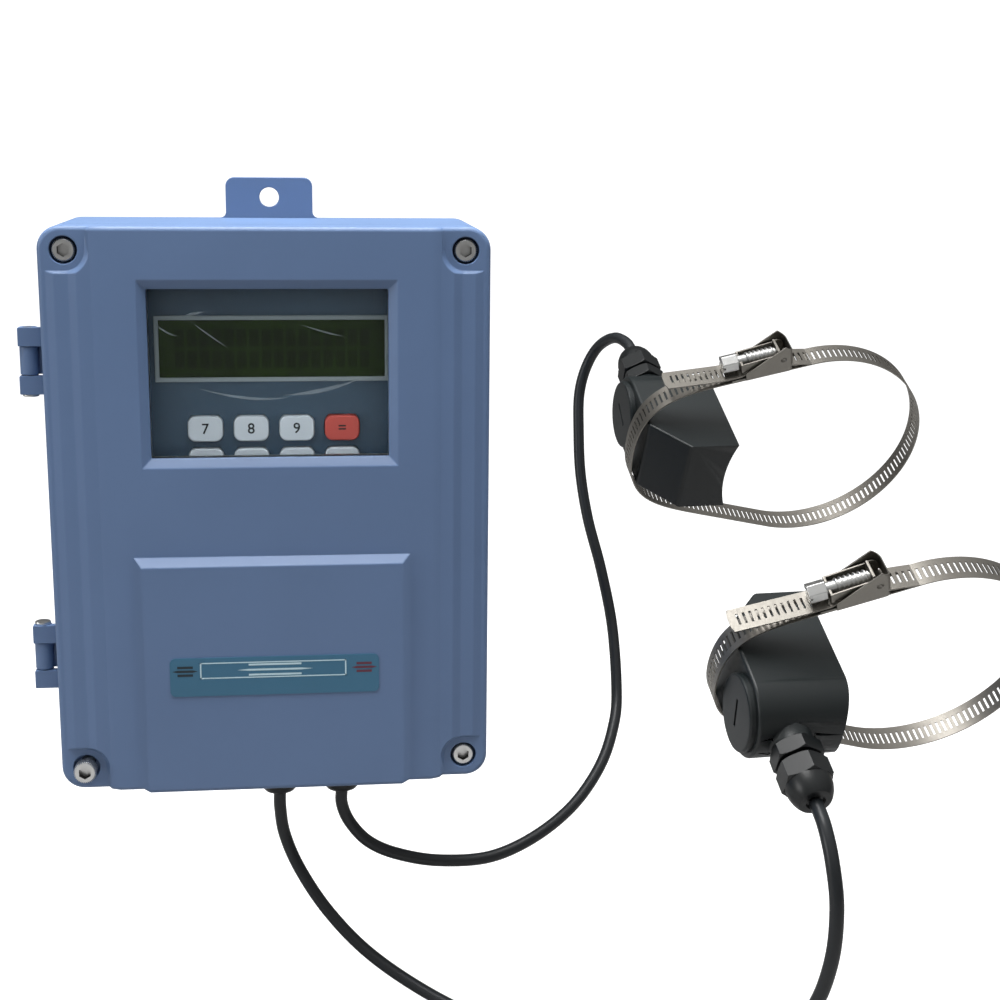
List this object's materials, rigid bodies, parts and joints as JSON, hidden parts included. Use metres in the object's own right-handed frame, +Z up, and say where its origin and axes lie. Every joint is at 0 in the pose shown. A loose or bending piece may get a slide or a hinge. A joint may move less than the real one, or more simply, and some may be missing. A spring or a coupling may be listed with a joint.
{
  "type": "clamp-on ultrasonic flow meter",
  "caption": "Wall-mounted ultrasonic flow meter case with keypad and display, cabled to two transducers strapped on a pipe by quick-release worm clamps.",
  "frame": {"origin": "centre of the top hanging hole on the wall plane", "axes": "+X right, +Y into the wall, +Z up; the case's front faces -Y"},
  "size_m": [0.4511, 0.3327, 0.395],
  "materials": {
    "case_blue": "satin blue-grey paint on a casting",
    "seal_rubber": "matte",
    "screw_steel": "bright zinc plate",
    "window_clear": "clear, glossy",
    "panel_blue": "satin print",
    "post_brass": "plain",
    "frame_grey": "satin",
    "lcd_glass": "glossy",
    "board_green": "glossy",
    "transformer_black": "matte",
    "terminal_green": "matte",
    "ribbon_grey": "matte",
    "nylon_black": "satin nylon",
    "label_teal": "printed film",
    "cable_black": "satin jacket",
    "key_grey": "satin",
    "key_red": "satin",
    "probe_black": "satin, moulded",
    "wedge_resin": "clear amber",
    "crystal_silver": "silvered",
    "band_steel": "bright stainless"
  },
  "bodies": {
    "case": {"base": "case_blue", "inner_panel": "panel_blue", "panel_posts": "post_brass", "lcd_frame": "frame_grey", "lcd_module": "lcd_glass", "keypad_board": "board_green", "main_board": "board_green", "transformer": "transformer_black", "terminal_blocks": "terminal_green", "ribbon_cable": "ribbon_grey", "small_screws": "screw_steel", "case_gland_bodies": "nylon_black", "case_gland_nuts": "nylon_black", "gland_seals": "seal_rubber", "blanking_plugs": "nylon_black", "lead_tails": "cable_black", "upper_transducer": "probe_black", "lower_transducer": "probe_black", "transducer_caps": "probe_black", "cap_seals": "seal_rubber", "sound_wedges": "wedge_resin", "piezo_crystals": "crystal_silver", "probe_gland_bodies": "nylon_black", "probe_gland_nuts": "nylon_black", "upper_band": "band_steel", "lower_band": "band_steel", "upper_saddle": "band_steel", "lower_saddle": "band_steel", "upper_lead": "cable_black", "lower_lead": "cable_black"},
    "lid": {"lid": "case_blue", "lid_gasket": "seal_rubber", "hinge_pins": "screw_steel", "lid_screws": "screw_steel", "window_pane": "window_clear", "window_seal": "seal_rubber", "window_retainer": "band_steel", "window_screws": "screw_steel", "label_plate": "label_teal"},
    "loose_screw": {"loose_lid_screw": "screw_steel"},
    "key_7": {"key_7": "key_grey"},
    "key_8": {"key_8": "key_grey"},
    "key_9": {"key_9": "key_grey"},
    "key_menu": {"key_menu": "key_red"},
    "key_4": {"key_4": "key_grey"},
    "key_5": {"key_5": "key_grey"},
    "key_6": {"key_6": "key_grey"},
    "key_up": {"key_up": "key_grey"},
    "key_1": {"key_1": "key_grey"},
    "key_2": {"key_2": "key_grey"},
    "key_3": {"key_3": "key_grey"},
    "key_down": {"key_down": "key_grey"},
    "key_0": {"key_0": "key_grey"},
    "key_point": {"key_point": "key_grey"},
    "key_left": {"key_left": "key_grey"},
    "key_enter": {"key_enter": "key_grey"},
    "upper_carrier": {"upper_carrier": "band_steel"},
    "upper_worm": {"upper_worm": "screw_steel"},
    "lower_carrier": {"lower_carrier": "band_steel"},
    "lower_worm": {"lower_worm": "screw_steel"}
  },
  "joints": [
    {"name": "lid_hinge", "type": "hinge", "parent": "case", "child": "lid", "pos_m": [-0.1035, -0.0586, -0.135], "axis": [0, 0, -1], "range_deg": [0, 140]},
    {"name": "loose_screw_in", "type": "slide", "parent": "lid", "child": "loose_screw", "axis": [0, 1, 0], "range_m": [0, 0.0075]},
    {"name": "key_7_press", "type": "slide", "parent": "case", "child": "key_7", "axis": [0, 1, 0], "range_m": [0, 0.0012], "stiffness_N_per_m": 600, "springref_m": -0.0005},
    {"name": "key_8_press", "type": "slide", "parent": "case", "child": "key_8", "axis": [0, 1, 0], "range_m": [0, 0.0012], "stiffness_N_per_m": 600, "springref_m": -0.0005},
    {"name": "key_9_press", "type": "slide", "parent": "case", "child": "key_9", "axis": [0, 1, 0], "range_m": [0, 0.0012], "stiffness_N_per_m": 600, "springref_m": -0.0005},
    {"name": "key_menu_press", "type": "slide", "parent": "case", "child": "key_menu", "axis": [0, 1, 0], "range_m": [0, 0.0012], "stiffness_N_per_m": 600, "springref_m": -0.0005},
    {"name": "key_4_press", "type": "slide", "parent": "case", "child": "key_4", "axis": [0, 1, 0], "range_m": [0, 0.0012], "stiffness_N_per_m": 600, "springref_m": -0.0005},
    {"name": "key_5_press", "type": "slide", "parent": "case", "child": "key_5", "axis": [0, 1, 0], "range_m": [0, 0.0012], "stiffness_N_per_m": 600, "springref_m": -0.0005},
    {"name": "key_6_press", "type": "slide", "parent": "case", "child": "key_6", "axis": [0, 1, 0], "range_m": [0, 0.0012], "stiffness_N_per_m": 600, "springref_m": -0.0005},
    {"name": "key_up_press", "type": "slide", "parent": "case", "child": "key_up", "axis": [0, 1, 0], "range_m": [0, 0.0012], "stiffness_N_per_m": 600, "springref_m": -0.0005},
    {"name": "key_1_press", "type": "slide", "parent": "case", "child": "key_1", "axis": [0, 1, 0], "range_m": [0, 0.0012], "stiffness_N_per_m": 600, "springref_m": -0.0005},
    {"name": "key_2_press", "type": "slide", "parent": "case", "child": "key_2", "axis": [0, 1, 0], "range_m": [0, 0.0012], "stiffness_N_per_m": 600, "springref_m": -0.0005},
    {"name": "key_3_press", "type": "slide", "parent": "case", "child": "key_3", "axis": [0, 1, 0], "range_m": [0, 0.0012], "stiffness_N_per_m": 600, "springref_m": -0.0005},
    {"name": "key_down_press", "type": "slide", "parent": "case", "child": "key_down", "axis": [0, 1, 0], "range_m": [0, 0.0012], "stiffness_N_per_m": 600, "springref_m": -0.0005},
    {"name": "key_0_press", "type": "slide", "parent": "case", "child": "key_0", "axis": [0, 1, 0], "range_m": [0, 0.0012], "stiffness_N_per_m": 600, "springref_m": -0.0005},
    {"name": "key_point_press", "type": "slide", "parent": "case", "child": "key_point", "axis": [0, 1, 0], "range_m": [0, 0.0012], "stiffness_N_per_m": 600, "springref_m": -0.0005},
    {"name": "key_left_press", "type": "slide", "parent": "case", "child": "key_left", "axis": [0, 1, 0], "range_m": [0, 0.0012], "stiffness_N_per_m": 600, "springref_m": -0.0005},
    {"name": "key_enter_press", "type": "slide", "parent": "case", "child": "key_enter", "axis": [0, 1, 0], "range_m": [0, 0.0012], "stiffness_N_per_m": 600, "springref_m": -0.0005},
    {"name": "upper_carrier_swing", "type": "hinge", "parent": "case", "child": "upper_carrier", "pos_m": [0.24611, -0.00776, -0.07277], "axis": [-0.0874, 0.8711, 0.4833], "range_deg": [0, 60]},
    {"name": "upper_worm_spin", "type": "hinge", "parent": "upper_carrier", "child": "upper_worm", "pos_m": [0.23536, -0.00745, -0.07527], "axis": [-0.9736, 0.028, -0.2266], "continuous": true},
    {"name": "lower_carrier_swing", "type": "hinge", "parent": "case", "child": "lower_carrier", "pos_m": [0.25225, -0.14106, -0.15025], "axis": [-0.0874, 0.8711, 0.4833], "range_deg": [0, 60]},
    {"name": "lower_worm_spin", "type": "hinge", "parent": "lower_carrier", "child": "lower_worm", "pos_m": [0.24168, -0.14038, -0.1534], "axis": [-0.9565, 0.0622, -0.285], "continuous": true}
  ]
}
